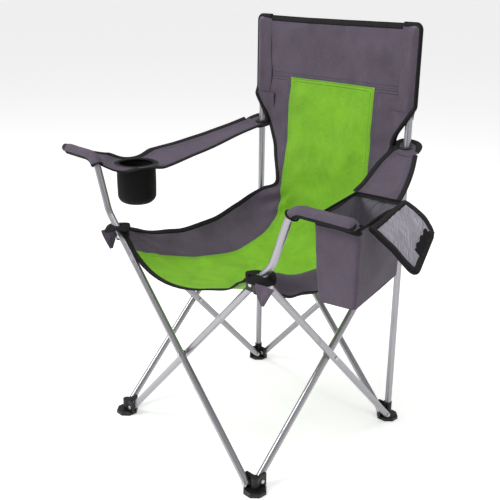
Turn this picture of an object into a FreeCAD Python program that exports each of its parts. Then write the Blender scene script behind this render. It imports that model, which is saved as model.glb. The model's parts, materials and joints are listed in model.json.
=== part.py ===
import FreeCAD, Part
import math
import os

V = FreeCAD.Vector

# Folding camp chair. Millimetres, +Z up. The origin is on the floor, midway between the four feet.
# The sitter faces -Y, so +X is the sitter's left.

# Frame
CORNER = 215.0  # half the spacing of the four corner axes, in X and in Y
TUBE_R = 7.5
TUBE_WALL = 1.0
POST_TOP = 880.0
FOOT_PIVOT_Z = 17.0
HUB_PIVOT_Z = 437.0
PIVOT_IN = 16.5  # from the corner axis to a rivet, along a side
PLANE_OUT = 8.5  # from the corner plane to a tube's axis, across a side
END_R = 7.6  # rounding of a riveted tube end
RUN = CORNER - PIVOT_IN
CROSS_Z = (FOOT_PIVOT_Z + HUB_PIVOT_Z) / 2

# Arms, which are the front tubes carried on past their hubs: (distance from the middle, height)
ARM_PATH = [(242.0, 483.0), (286.0, 597.0), (403.0, 598.3)]
ARM_BENDS = [60.0, 40.0]
ARM_SWEEP_NEAR = 0.6  # from the corner plane to the space an arm sweeps past its hub
ARM_SWEEP_DROP = 12.2  # from a hub rivet down to that space's lowest line
ARM_SWEEP_REACH = 45.0
ARM_CAP_R = 8.9
ARM_CAP_DEPTH = 12.0
SLEEVE_IN_R = 7.9
SLEEVE_OUT_R = 9.1
SLEEVE_START = 40.0

# Plastic feet and hubs
BASE_R = 23.0
BASE_H = 9.0
COLLAR_R = 8.9
COLLAR_TOP = 40.0
EAR_NEAR = 0.5  # gap side of an ear, measured past the corner plane
EAR_FAR = 4.5
EAR_HALF = 11.0
FOOT_EAR_TOP = 33.0
HUB_EAR_DROP = 6.0
HUB_LOW = 424.0
HUB_HIGH = 456.0
BORE_CLEARANCE = 0.08

# Rivets
PIN_R = 2.5
PIN_CLEARANCE = 0.06
HEAD_R = 4.6
HEAD_H = 1.8
HEAD_GAP = 0.15
SPACER_R = 6.0
SPACER_HALF = 0.75

# Fabric
CLOTH = 2.0
SEAM_GAP = 0.5
# Rows of the sling from the seat's front edge to the top of the back:
# (middle y, z), (side x, y, z), how flat the middle is, half-width of the centre panel
SLING = [
    ((-194, 366), (190, -194, 432), 4.0, 162),
    ((-120, 356), (190, -120, 422), 4.0, 152),
    ((-40, 349), (190, -40, 416), 4.0, 138),
    ((40, 349), (190, 45, 424), 4.0, 124),
    ((115, 362), (190, 118, 444), 3.0, 122),
    ((160, 388), (190, 158, 458), 3.0, 122),
    ((188, 432), (180, 178, 474), 2.5, 122),
    ((199, 485), (134, 190, 500), 2.0, 122),
    ((205, 560), (152, 203, 560), 2.0, 122),
    ((210, 620), (177, 209, 620), 2.0, 122),
    ((213, 680), (196, 212, 680), 2.0, 122),
    ((215, 750), (203, 214, 750), 2.0, 122),
    ((215, 820), (203, 214, 820), 2.0, 122),
    ((214, 885), (203, 214, 885), 2.0, 122),
]
SEAT_SPLIT = 2.5
CREASE = 6.0
BACK_SPLIT = 10.0
HEAD_SEAM = 11.0
SLING_END = 13.0
POST_SLEEVE = (700.0, 887.0)
STRAP_X = (184.0, 232.0)
STRAP_HALF = 6.0
STRAP_LIFT = 0.4

# Armrests: rows from the post to the front, as (y, inner x, inner z, outer x, outer z) on the left side
RIGHT_WEB = [
    (190, 194, 628, 252, 643),
    (130, 206, 612, 278, 622),
    (65, 221, 591, 305, 603),
    (0, 236, 571, 331, 586),
    (-65, 249, 554, 357, 574),
    (-130, 263, 550, 378, 577),
    (-175, 274, 558, 388, 588),
    (-205, 290, 577, 392, 593),
]
LEFT_WEB = [
    (190, 194, 633, 256, 628),
    (130, 204, 612, 290, 608),
    (70, 220, 590, 320, 590),
    (14, 240, 579, 345, 576),
]
RING_Z = 635.0
RING_R = 17.0
RING_H = 5.0

# Cup holder in the right armrest
CUP_AT = (-311.0, -97.0)
CUP_TOP = 558.0
CUP_BOTTOM = 467.0
CUP_R = 44.0
CUP_WALL = 1.2
CUP_BASE_FILLET = 16.0
CUP_RING_R = 49.0
CUP_RING_H = 4.0

# Cooler bag under the left armrest, corner by corner: inner front, outer front, outer rear, inner rear
BAG_TOP = [(320, -190), (420, -190), (370, 5), (262, -5)]
BAG_BOTTOM = [(325, -177), (416, -186), (366, 0), (280, -6)]
BAG_Z = (439.0, 584.0)
BAG_WALL = 3.0
RIM_H = 3.5
RIM_OUT = 2.5
LID_HINGE_OUT = 5.5
LID_NEAR_INSET = 22.0
LID_FAR_INSET = 10.0
LID_REACH = 114.0
LID_TAPER = (4.0, 44.0)
LID_SLOPE = 25.0
LID_THICK = 4.0
LID_Z = 589.5
PATCH = (62.0, 18.0, 1.0)


def cylinder(radius, start, end):
    """A cylinder between two points."""
    axis = end - start
    return Part.makeCylinder(radius, axis.Length, start, axis)


def box(low, high):
    """A box between two corners."""
    size = V(*high) - V(*low)
    return Part.makeBox(size.x, size.y, size.z, V(*low))


def turned(shape, quarters):
    """A copy turned about +Z: quarter 0 is the rear or rear right, 1 right, 2 front, 3 left."""
    copy = shape.copy()
    copy.rotate(V(0, 0, 0), V(0, 0, 1), 90 * quarters)
    return copy


def rounded_path(points, radii):
    """A wire of straight runs joined by tangent arcs at the inner points."""
    edges = []
    start = points[0]
    for corner, after, radius in zip(points[1:-1], points[2:], radii):
        into = (corner - start).normalize()
        out = (after - corner).normalize()
        half_turn = into.getAngle(out) / 2
        trim = radius * math.tan(half_turn)
        first = corner - into * trim
        last = corner + out * trim
        bisector = (out - into).normalize()
        centre = corner + bisector * (radius / math.cos(half_turn))
        middle = centre - bisector * radius
        edges.append(Part.LineSegment(start, first).toShape())
        edges.append(Part.Arc(first, middle, last).toShape())
        start = last
    edges.append(Part.LineSegment(start, points[-1]).toShape())
    return Part.Wire(edges)


def swept_tube(path):
    """A hollow round tube along a path."""
    start = path.Edges[0].valueAt(path.Edges[0].FirstParameter)
    along = path.Edges[0].tangentAt(path.Edges[0].FirstParameter)
    solids = []
    for radius in (TUBE_R, TUBE_R - TUBE_WALL):
        section = Part.Wire([Part.makeCircle(radius, start, along)])
        solids.append(path.makePipeShell([section], True, False))
    return solids[0].cut(solids[1])


def round_end(tube, pivot, along):
    """Round the tube end that lies beyond a rivet, seen along the rivet."""
    side = V(0, 1, 0)
    reach = 30.0
    block = Part.makeBox(reach, reach, 2 * reach, V(0, -reach / 2, -reach))
    block = block.cut(Part.makeCylinder(END_R, reach, V(0, -reach / 2, 0), side))
    block.rotate(V(0, 0, 0), side, -math.degrees(math.atan2(along.z, along.x)))
    block.translate(pivot)
    return tube.cut(block)


def cross_tube(hand, arm):
    """One tube of the rear pair. hand 1 is the outer tube, rising to +X, and -1 the inner one, rising to -X."""
    y = CORNER + hand * PLANE_OUT
    foot = V(-hand * RUN, y, FOOT_PIVOT_Z)
    hub = V(hand * RUN, y, HUB_PIVOT_Z)
    along = (hub - foot).normalize()
    start = foot - along * 2 * TUBE_R
    if arm:
        points = [start] + [V(hand * x, y, z) for x, z in ARM_PATH]
        tube = swept_tube(rounded_path(points, ARM_BENDS))
    else:
        tube = swept_tube(rounded_path([start, hub + along * 2 * TUBE_R], []))
        tube = round_end(tube, hub, along)
    tube = round_end(tube, foot, along * -1)
    for pivot in (foot, hub):
        tube = tube.cut(across(PIN_R + PIN_CLEARANCE, pivot, V(0, 1, 0)))
    middle_r = PIN_R if hand == 1 else PIN_R + PIN_CLEARANCE
    return tube.cut(across(middle_r, V(0, y, CROSS_Z), V(0, 1, 0)))


def across(radius, centre, axis):
    """A cylinder right through a tube."""
    return cylinder(radius, centre - axis * 2 * TUBE_R, centre + axis * 2 * TUBE_R)


def rivet(start, end):
    """A pin with a head outside each end point."""
    axis = (end - start).normalize()
    pin = cylinder(PIN_R, start - axis * HEAD_H, end + axis * HEAD_H)
    for point, way in ((start, axis * -1), (end, axis)):
        head = cylinder(HEAD_R, point, point + way * HEAD_H)
        rim = [e for e in head.Edges if abs((e.CenterOfMass - point).dot(way) - HEAD_H) < 1e-6]
        pin = pin.fuse(head.makeFillet(HEAD_H * 0.7, rim))
    return pin.removeSplitter()


def cross_rivet():
    """The rivet where the rear pair crosses, with the spacer that keeps the tubes apart."""
    reach = PLANE_OUT + TUBE_R + HEAD_GAP
    pin = rivet(V(0, CORNER - reach, CROSS_Z), V(0, CORNER + reach, CROSS_Z))
    spacer = cylinder(SPACER_R, V(0, CORNER - SPACER_HALF, CROSS_Z), V(0, CORNER + SPACER_HALF, CROSS_Z))
    return pin.fuse(spacer)


def corner_pivots(upper):
    """The two rivets of the rear right corner, as (tube side, ear side) end points."""
    z = HUB_PIVOT_Z if upper else FOOT_PIVOT_Z
    hand = -1 if upper else 1
    tube_far = PLANE_OUT + TUBE_R + HEAD_GAP
    x_run = (
        V(-CORNER + PIVOT_IN, CORNER + hand * tube_far, z),
        V(-CORNER + PIVOT_IN, CORNER - hand * (EAR_FAR + 0.02), z),
    )
    y_run = (
        V(-CORNER + hand * tube_far, CORNER - PIVOT_IN, z),
        V(-CORNER - hand * (EAR_FAR + 0.02), CORNER - PIVOT_IN, z),
    )
    return x_run, y_run


def corner_rivets(upper):
    """The two rivets of one corner piece, as a group."""
    return Part.makeCompound([rivet(*ends) for ends in corner_pivots(upper)])


def ears(upper):
    """The two thin webs that the tubes are riveted to, at the rear right corner."""
    low, high = (HUB_LOW, HUB_HIGH - HUB_EAR_DROP) if upper else (BASE_H / 2, FOOT_EAR_TOP)
    hand = -1 if upper else 1
    near, far = sorted((hand * EAR_NEAR, -hand * EAR_FAR))
    reach = PIVOT_IN + EAR_HALF
    x_ear = box((-CORNER, CORNER + near, low), (-CORNER + reach, CORNER + far, high))
    y_ear = box((-CORNER + near, CORNER - reach, low), (-CORNER + far, CORNER, high))
    return x_ear.fuse(y_ear)


def pin_holes(upper):
    """What the two rivets remove from the ears."""
    return Part.makeCompound([cylinder(PIN_R, *ends) for ends in corner_pivots(upper)])


def octagon(across_flats, height, at):
    """An eight-sided block standing on a point, measured from its middle to a flat."""
    radius = across_flats / math.cos(math.pi / 8)
    turns = [math.pi / 8 + k * math.pi / 4 for k in range(9)]
    wire = Part.makePolygon([at + V(radius * math.cos(t), radius * math.sin(t), 0) for t in turns])
    return Part.Face(wire).extrude(V(0, 0, height))


def foot(has_post):
    """A moulded foot at the rear right corner: ground plate, socket and two ears."""
    plate = octagon(BASE_R, BASE_H, V(-CORNER, CORNER, 0))
    plate = plate.makeChamfer(2.5, [e for e in plate.Edges if e.BoundBox.ZMin > BASE_H - 1e-6])
    top = COLLAR_TOP if has_post else FOOT_EAR_TOP
    collar = Part.makeCylinder(COLLAR_R, top, V(-CORNER, CORNER, 0))
    solid = plate.fuse([collar, ears(False)])
    if has_post:
        solid = solid.cut(Part.makeCylinder(TUBE_R, POST_TOP, V(-CORNER, CORNER, BASE_H / 2)))
    return solid.cut(pin_holes(False)).removeSplitter()


def hub(has_post):
    """A moulded hub at the rear right corner. A rear one slides on its post."""
    collar = Part.makeCylinder(COLLAR_R, HUB_HIGH - HUB_LOW, V(-CORNER, CORNER, HUB_LOW))
    collar = collar.makeFillet(1.2, [e for e in collar.Edges if e.BoundBox.ZMin > HUB_HIGH - 1e-6])
    solid = collar.fuse(ears(True))
    if has_post:
        bore = TUBE_R + BORE_CLEARANCE
        solid = solid.cut(Part.makeCylinder(bore, POST_TOP, V(-CORNER, CORNER, 0)))
    return solid.cut(pin_holes(True)).removeSplitter()


def arm_clearance(side):
    """The space beside a front corner that its arm tube sweeps through as the chair folds."""
    low = HUB_PIVOT_Z - ARM_SWEEP_DROP
    rise = ARM_SWEEP_REACH * (HUB_PIVOT_Z - FOOT_PIVOT_Z) / (2 * RUN)
    y = -CORNER + side * ARM_SWEEP_NEAR
    corners = [(RUN, low), (RUN + ARM_SWEEP_REACH, low + rise), (RUN + ARM_SWEEP_REACH, low + 100), (RUN, low + 100)]
    wire = Part.makePolygon([V(side * x, y, z) for x, z in corners + corners[:1]])
    return Part.Face(wire).extrude(V(0, side * 2 * PLANE_OUT, 0))


def post(side):
    """A rear upright, from its foot's socket to the top of the back."""
    at = V(side * CORNER, CORNER, BASE_H / 2)
    outer = Part.makeCylinder(TUBE_R, POST_TOP - BASE_H / 2, at)
    return outer.cut(Part.makeCylinder(TUBE_R - TUBE_WALL, POST_TOP - BASE_H / 2, at))


def post_sleeve(side):
    """The channel of the back that slips over a post, closed at the top."""
    low, high = POST_SLEEVE
    outer = Part.makeCylinder(SLEEVE_OUT_R, high - low, V(side * CORNER, CORNER, low))
    return outer.cut(Part.makeCylinder(SLEEVE_IN_R, high - low - 3, V(side * CORNER, CORNER, low)))


def arm_ends(side):
    """Start and end of an arm's level run. side -1 is the right arm, on the outer tube."""
    y = -CORNER + side * PLANE_OUT
    bend, tip = [V(side * x, y, z) for x, z in ARM_PATH[1:]]
    return bend, tip


def arm_cap(side):
    """The plug-on cap of an arm tube."""
    bend, tip = arm_ends(side)
    out = (tip - bend).normalize()
    cap = cylinder(ARM_CAP_R, tip - out * ARM_CAP_DEPTH, tip + out * 3)
    rim = [e for e in cap.Edges if (e.CenterOfMass - tip).dot(out) > 2.9]
    cap = cap.makeFillet(1.5, rim)
    return cap.cut(cylinder(TUBE_R, tip - out * ARM_CAP_DEPTH, tip))


def arm_sleeve(side):
    """The armrest's hem around an arm's level run."""
    bend, tip = arm_ends(side)
    out = (tip - bend).normalize()
    start = bend + out * SLEEVE_START
    end = tip - out * (ARM_CAP_DEPTH + 0.5)
    return cylinder(SLEEVE_OUT_R, start, end).cut(cylinder(SLEEVE_IN_R, start, end))


def slab(points):
    """A closed sheet CLOTH thick, above a grid of points that are rows of vectors."""
    surface = Part.BSplineSurface()
    surface.interpolate(points)
    lift = []
    for row in points:
        raised = []
        for point in row:
            u, v = surface.parameter(point)
            raised.append(point + surface.normal(u, v) * CLOTH)
        lift.append(raised)
    top = Part.BSplineSurface()
    top.interpolate(lift)
    faces = [surface.toShape(), top.toShape()]
    for below, above in zip(faces[0].Edges, faces[1].Edges):
        faces.append(Part.makeRuledSurface(below, above))
    shell = Part.makeShell(faces)
    shell.sewShape()
    solid = Part.Solid(shell)
    if solid.Volume < 0:
        solid.reverse()
    return solid


def spline(values, at):
    """Catmull-Rom value of a list of numbers at a fractional index."""
    index = min(int(at), len(values) - 2)
    part = at - index
    before = values[max(index - 1, 0)]
    first, last = values[index], values[index + 1]
    after = values[min(index + 2, len(values) - 1)]
    curve = 2 * before - 5 * first + 4 * last - after
    cubic = 3 * first - before - 3 * last + after
    return first + 0.5 * part * (last - before + part * (curve + part * cubic))


def sling_point(at, x_of):
    """The sling's point on row `at`. x_of gives x from the side's x and the centre panel's half-width."""
    mid_y, mid_z = [spline([row[0][k] for row in SLING], at) for k in (0, 1)]
    side_x, side_y, side_z = [spline([row[1][k] for row in SLING], at) for k in (0, 1, 2)]
    flat = spline([row[2] for row in SLING], at)
    x = x_of(side_x, spline([row[3] for row in SLING], at))
    share = min(abs(x) / side_x, 1.0) ** flat
    return V(x, mid_y + (side_y - mid_y) * share, mid_z + (side_z - mid_z) * share)


def sling_panel(first, last, part):
    """A panel of the sling between two rows. part 0 is the centre, 1 or -1 a side, None the full width."""
    count = max(5, round((last - first) * 3))
    inset = 0.01
    rows = []
    for i in range(count):
        at = first + inset + (last - first - 2 * inset) * i / (count - 1)
        steps = 4 if part in (1, -1) else 9
        row = []
        for k in range(steps):
            share = k / (steps - 1)
            if part is None:
                row.append(sling_point(at, lambda side, inner: side * (2 * share - 1)))
            elif part == 0:
                row.append(sling_point(at, lambda side, inner: (inner - SEAM_GAP) * (2 * share - 1)))
            else:
                edge = (lambda side, inner: part * (inner + SEAM_GAP + (side - inner - SEAM_GAP) * share))
                row.append(sling_point(at, edge))
        rows.append(row)
    return slab(rows)


def web(rows, side):
    """An armrest's band of fabric from its table of rows, on the side given."""
    points = []
    for y, inner_x, inner_z, outer_x, outer_z in rows:
        inner = V(side * inner_x, y, inner_z)
        outer = V(side * outer_x, y, outer_z)
        points.append([inner + (outer - inner) * k / 4 for k in range(5)])
    return slab(points)


def web_ring(side):
    """The moulded eyelet that holds an armrest to its post."""
    at = V(side * CORNER, CORNER, RING_Z - RING_H / 2)
    ring = Part.makeCylinder(RING_R, RING_H, at)
    ring = ring.makeFillet(1.5, ring.Edges[:1])
    return ring.cut(Part.makeCylinder(TUBE_R, RING_H, at))


def right_web():
    """The right armrest's band, with its hole for the cup holder."""
    hole = Part.makeCylinder(CUP_RING_R + 1, 200, V(*CUP_AT, CUP_BOTTOM))
    return web(RIGHT_WEB, -1).cut(hole)


def cup_ring():
    """The bound rim of the cup holder."""
    at = V(*CUP_AT, CUP_TOP)
    ring = Part.makeCylinder(CUP_RING_R, CUP_RING_H, at)
    return ring.cut(Part.makeCylinder(CUP_R - CUP_WALL, CUP_RING_H, at))


def cup():
    """The cup holder's pocket: a round-bottomed bag of mesh."""
    height = CUP_TOP - CUP_BOTTOM
    outer = Part.makeCylinder(CUP_R, height, V(*CUP_AT, CUP_BOTTOM))
    outer = outer.makeFillet(CUP_BASE_FILLET, [e for e in outer.Edges if e.BoundBox.ZMax < CUP_BOTTOM + 1e-6])
    inner = Part.makeCylinder(CUP_R - CUP_WALL, height, V(*CUP_AT, CUP_BOTTOM + CUP_WALL))
    inner_edges = [e for e in inner.Edges if e.BoundBox.ZMax < CUP_BOTTOM + CUP_WALL + 1e-6]
    return outer.cut(inner.makeFillet(CUP_BASE_FILLET - CUP_WALL, inner_edges))


def grown(corners, by):
    """A four-cornered outline, given anticlockwise, moved outwards by a distance."""
    lines = []
    for (ax, ay), (bx, by_) in zip(corners, corners[1:] + corners[:1]):
        length = math.hypot(bx - ax, by_ - ay)
        lines.append(((by_ - ay) / length, (ax - bx) / length, ax, ay))
    moved = []
    for before, after in zip(lines[-1:] + lines[:-1], lines):
        first = before[0] * before[2] + before[1] * before[3] + by
        second = after[0] * after[2] + after[1] * after[3] + by
        det = before[0] * after[1] - before[1] * after[0]
        moved.append(((first * after[1] - second * before[1]) / det, (before[0] * second - after[0] * first) / det))
    return moved


def outline(corners, z):
    """A closed four-cornered wire at a height."""
    return Part.makePolygon([V(x, y, z) for x, y in corners + corners[:1]])


def bag():
    """The cooler bag: an open-topped box that narrows downwards."""
    low, high = BAG_Z
    outer = Part.makeLoft([outline(BAG_BOTTOM, low), outline(BAG_TOP, high)], True, True)
    inner_low = outline(grown(BAG_BOTTOM, -BAG_WALL), low + BAG_WALL)
    inner_high = outline(grown(BAG_TOP, -BAG_WALL), high)
    return outer.cut(Part.makeLoft([inner_low, inner_high], True, True))


def bag_rim():
    """The bag's zip and binding, round its mouth."""
    height = V(0, 0, RIM_H)
    outer = Part.Face(outline(grown(BAG_TOP, RIM_OUT), BAG_Z[1])).extrude(height)
    return outer.cut(Part.Face(outline(grown(BAG_TOP, -BAG_WALL), BAG_Z[1])).extrude(height))


def lid_frame():
    """The lid's hinge: its near end, the way along it to the rear, and the way the lid reaches when open."""
    near, far = [V(*corner, LID_Z) for corner in BAG_TOP[1:3]]
    along = (far - near).normalize()
    out = V(along.y, -along.x, 0)
    slope = math.radians(LID_SLOPE)
    start = near + along * LID_NEAR_INSET + out * LID_HINGE_OUT
    return start, along, out * math.cos(slope) - V(0, 0, math.sin(slope))


def lid():
    """The lid, folded open: lined side up, thickness below the hinge line."""
    start, along, reach = lid_frame()
    length = (V(*BAG_TOP[2], 0) - V(*BAG_TOP[1], 0)).Length - LID_NEAR_INSET - LID_FAR_INSET
    near_out = start + along * LID_TAPER[0] + reach * LID_REACH
    far_out = start + along * (length - LID_TAPER[1]) + reach * LID_REACH
    corners = [start, near_out, far_out, start + along * length, start]
    return Part.Face(Part.makePolygon(corners)).extrude(along.cross(reach) * LID_THICK)


def lid_patch():
    """The hook-and-loop patch on the lid's lined side."""
    start, along, reach = lid_frame()
    long, wide, thick = PATCH
    corner = start + along * 25 + reach * (LID_REACH - wide - 8)
    sides = [corner, corner + reach * wide, corner + reach * wide + along * long, corner + along * long, corner]
    return Part.Face(Part.makePolygon(sides)).extrude(reach.cross(along) * thick)


def seat_strap(side):
    """The strap that holds a front corner of the seat to its hub, on the hub's top, beside the arm."""
    middle = -CORNER - side * PLANE_OUT
    inner, outer = sorted((side * STRAP_X[0], side * STRAP_X[1]))
    bottom = HUB_HIGH + STRAP_LIFT
    return box((inner, middle - STRAP_HALF, bottom), (outer, middle + STRAP_HALF, bottom + CLOTH))


CORNERS = ("rear_right", "front_right", "front_left", "rear_left")
SIDES = ("rear", "right", "front", "left")
HANDS = {"left": 1, "right": -1}


def parts():
    """Every piece by name."""
    made = {}
    for quarter, corner in enumerate(CORNERS):
        has_post = corner.startswith("rear")
        made["foot_" + corner] = turned(foot(has_post), quarter)
        made["foot_rivets_" + corner] = turned(corner_rivets(False), quarter)
        made["hub_" + corner] = turned(hub(has_post), quarter)
        made["hub_rivets_" + corner] = turned(corner_rivets(True), quarter)
    for quarter, side in enumerate(SIDES):
        made["tube_" + side + "_outer"] = turned(cross_tube(1, side == "front"), quarter)
        made["tube_" + side + "_inner"] = turned(cross_tube(-1, side == "front"), quarter)
        made["cross_rivet_" + side] = turned(cross_rivet(), quarter)
    for name, side in HANDS.items():
        made["post_" + name] = post(side)
        made["post_sleeve_" + name] = post_sleeve(side)
        made["arm_cap_" + name] = arm_cap(side)
        made["arm_sleeve_" + name] = arm_sleeve(side)
        made["armrest_ring_" + name] = web_ring(side)
        made["seat_strap_" + name] = seat_strap(side)
        made["hub_front_" + name] = made["hub_front_" + name].cut(arm_clearance(side))
        made["seat_front_side_" + name] = sling_panel(0, SEAT_SPLIT, side)
        made["seat_rear_side_" + name] = sling_panel(SEAT_SPLIT, CREASE, side)
        made["back_lower_side_" + name] = sling_panel(CREASE, BACK_SPLIT, side)
    made["seat_front_centre"] = sling_panel(0, SEAT_SPLIT, 0)
    made["seat_rear_centre"] = sling_panel(SEAT_SPLIT, CREASE, 0)
    made["back_lower_centre"] = sling_panel(CREASE, BACK_SPLIT, 0)
    made["back_upper"] = sling_panel(BACK_SPLIT, HEAD_SEAM, None)
    made["head_panel"] = sling_panel(HEAD_SEAM, SLING_END, None)
    made["armrest_right"] = right_web()
    made["armrest_left"] = web(LEFT_WEB, 1)
    made["cup_ring"] = cup_ring()
    made["cup_mesh"] = cup()
    made["cooler_bag"] = bag()
    made["cooler_rim"] = bag_rim()
    made["cooler_lid"] = lid()
    made["lid_patch"] = lid_patch()
    return made


os.makedirs("parts", exist_ok=True)
for name, shape in parts().items():
    shape.exportStep("parts/" + name + ".step")
    print(name, shape.isValid(), len(shape.Solids), round(shape.Volume))
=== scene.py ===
import json
import math

import bmesh
import bpy
import numpy as np
from mathutils import Matrix, Vector, noise


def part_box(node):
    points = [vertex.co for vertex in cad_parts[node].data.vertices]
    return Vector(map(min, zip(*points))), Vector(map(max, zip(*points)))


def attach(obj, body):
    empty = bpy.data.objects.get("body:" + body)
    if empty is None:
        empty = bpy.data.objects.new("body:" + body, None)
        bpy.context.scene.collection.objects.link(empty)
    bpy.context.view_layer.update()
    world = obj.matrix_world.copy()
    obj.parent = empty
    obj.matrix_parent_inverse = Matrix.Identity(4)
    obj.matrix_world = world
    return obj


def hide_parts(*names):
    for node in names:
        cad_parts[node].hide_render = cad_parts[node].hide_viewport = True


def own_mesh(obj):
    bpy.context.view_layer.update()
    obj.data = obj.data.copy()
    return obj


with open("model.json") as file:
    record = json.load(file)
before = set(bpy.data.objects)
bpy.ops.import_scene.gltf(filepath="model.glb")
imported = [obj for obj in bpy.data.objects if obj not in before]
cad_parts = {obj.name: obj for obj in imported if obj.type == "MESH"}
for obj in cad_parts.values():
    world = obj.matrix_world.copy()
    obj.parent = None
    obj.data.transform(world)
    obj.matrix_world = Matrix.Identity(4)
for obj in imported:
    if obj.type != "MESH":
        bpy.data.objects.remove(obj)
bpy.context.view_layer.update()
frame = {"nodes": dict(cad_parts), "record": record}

# Folding camp chair, in metres. The sitter faces -Y, so +X is the sitter's left.

# Places read from the frame
POST_LOW, POST_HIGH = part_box("post_left")
CORNER = (POST_LOW.x + POST_HIGH.x) / 2  # half the spacing of the corner axes
RING_LOW, RING_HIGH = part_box("armrest_ring_left")
RING_Z = (RING_LOW.z + RING_HIGH.z) / 2
CUP_LOW, CUP_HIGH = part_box("cup_mesh")
CUP_AT = (CUP_LOW + CUP_HIGH) / 2
CUP_RIM_Z = CUP_HIGH.z
HUB_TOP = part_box("hub_front_left")[1].z

# Frame sizes, as in the CAD
PLANE_OUT = 0.0085  # from a side's plane to a tube's axis
ARM_BEND = (0.286, 0.597)
ARM_TIP = (0.403, 0.5983)
ARM_BEND_R = 0.040
ARM_TURN = 0.0271  # from the corner of the bend to either end of its arc

# Cloth
CLOTH = 0.0016
TAPE = 0.0115  # half-width of the folded binding
TAPE_THICK = 0.0036
FOLD_KEEP = 0.156  # how narrow the sling is once the chair is folded
ARM_KEEP = {"right": 0.4345, "left": 0.4373}
ARM_WAY = {"right": (-0.2975, -0.9523, -0.0684), "left": (0.3083, -0.9486, -0.0709)}
HANDS = {"left": 1, "right": -1}

# Rows of the sling from the seat's front edge to the top of the back:
# middle y, middle z, side x, side y, side z, how flat the middle is, half-width of the green panel
SLING = [
    (-0.221, 0.369, 0.200, -0.224, 0.457, 3.6, 0.165),
    (-0.125, 0.356, 0.203, -0.125, 0.427, 3.8, 0.152),
    (-0.040, 0.349, 0.204, -0.040, 0.417, 3.8, 0.138),
    (0.040, 0.349, 0.204, 0.045, 0.424, 3.6, 0.124),
    (0.115, 0.362, 0.205, 0.118, 0.444, 3.0, 0.122),
    (0.160, 0.388, 0.205, 0.165, 0.461, 2.8, 0.122),
    (0.186, 0.432, 0.183, 0.184, 0.479, 2.5, 0.122),
    (0.197, 0.485, 0.138, 0.190, 0.503, 2.0, 0.122),
    (0.204, 0.560, 0.155, 0.203, 0.560, 2.0, 0.122),
    (0.210, 0.620, 0.178, 0.209, 0.620, 2.0, 0.122),
    (0.213, 0.680, 0.200, 0.211, 0.680, 2.0, 0.122),
    (0.215, 0.750, 0.196, 0.2145, 0.750, 2.0, 0.122),
    (0.215, 0.820, 0.193, 0.2145, 0.820, 2.0, 0.122),
    (0.214, 0.883, 0.193, 0.2145, 0.884, 2.0, 0.122),
]
# The sleeves over the posts
SLEEVE_LOW = 0.640
SLEEVE_FULL = 0.722
SLEEVE_TOP = 0.886
SLEEVE_OUT = 0.2292
SLEEVE_CORNER = 0.013

# The left wing hangs over its tubes: lift at the green panel's edge and at the outer edge
LEFT_LIFT = [
    (0.008, 0), (0.041, -0.034), (0.030, -0.038), (0.020, -0.038),
    (0.008, -0.024), (0.0, -0.008), (0, 0), (0, 0),
]
ROW_STEPS = 12
GREEN_COLUMNS = 32
SIDE_COLUMNS = 12
HEAD_SEAM = 11
BANDS = {  # name: (first row, last row, body it rides on)
    "seat_front": (0, 2.5, "seat_front"),
    "seat_rear": (2.5, 6, "seat_rear"),
    "back_lower": (6, 10, "back_lower"),
    "back_upper": (10, 11, "rear_right_frame"),
    "head_panel": (11, 13, "rear_right_frame"),
}

# Armrests from the post to the front, on the left side: y, inner x, inner z, outer x, outer z
RIGHT_WEB = [
    (0.190, 0.194, 0.630, 0.252, 0.642),
    (0.130, 0.206, 0.613, 0.278, 0.621),
    (0.065, 0.221, 0.591, 0.305, 0.602),
    (0.000, 0.236, 0.571, 0.331, 0.585),
    (-0.065, 0.249, 0.554, 0.357, 0.574),
    (-0.130, 0.263, 0.550, 0.380, 0.576),
    (-0.175, 0.274, 0.558, 0.390, 0.587),
    (-0.209, 0.290, 0.577, 0.393, 0.594),
]
LEFT_WEB = [
    (0.190, 0.194, 0.633, 0.258, 0.629),
    (0.130, 0.204, 0.612, 0.293, 0.609),
    (0.070, 0.220, 0.590, 0.322, 0.590),
    (0.008, 0.246, 0.585, 0.350, 0.579),
]

# The plane of each armrest's rear end, on the left side: the way forward and the way outward
STRAP_PLANE = {
    "left": ((0.328, -0.894, -0.306), (0.995, 0.050, -0.070)),
    "right": ((0.290, -0.915, -0.282), (0.975, 0.050, 0.220)),
}

# Cooler bag, corner by corner: inner front, outer front, outer rear, inner rear
BAG_TOP = [(0.320, -0.190), (0.420, -0.190), (0.370, 0.005), (0.262, -0.005)]
BAG_BOTTOM = [(0.325, -0.177), (0.416, -0.186), (0.366, 0.000), (0.280, -0.006)]
BAG_RIM_Z = 0.584
# Height of the bottom's inner front corner, and its slope along X and Y
BAG_LOW = (0.434, 0.143, 0.074)
BAG_WALL = 0.003
BAG_CORNER_R = 0.011
# The lid as it hangs open: hinge near, hinge far, outer far, outer near
LID = [
    (0.421, -0.163, 0.585),
    (0.376, -0.011, 0.594),
    (0.464, -0.042, 0.564),
    (0.508, -0.152, 0.521),
]
# One tooth of the zip, as a small wedge: its corners and the corners of each side
TOOTH = [(-1, -1, -1), (1, -1, -1), (1, 1, -1), (-1, 1, -1)]
TOOTH += [(-0.6, -0.7, 1), (0.6, -0.7, 1), (0.6, 0.7, 1), (-0.6, 0.7, 1)]
TOOTH_SIDES = [(0, 3, 2, 1), (4, 5, 6, 7), (0, 1, 5, 4), (1, 2, 6, 5), (2, 3, 7, 6), (3, 0, 4, 7)]
TOOTH_PITCH = 0.0030

# The pocket flaps under the front corners: two top corners, the tip and the way outward
FLAPS = {
    "left": (
        (0.222, -0.230, 0.450),
        (0.270, -0.229, 0.450),
        (0.243, -0.232, 0.412),
        (0.0, -1.0, 0.0),
    ),
    "right": (
        (-0.231, -0.253, 0.447),
        (-0.231, -0.204, 0.449),
        (-0.235, -0.226, 0.400),
        (-1.0, 0.0, 0.0),
    ),
}

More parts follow.
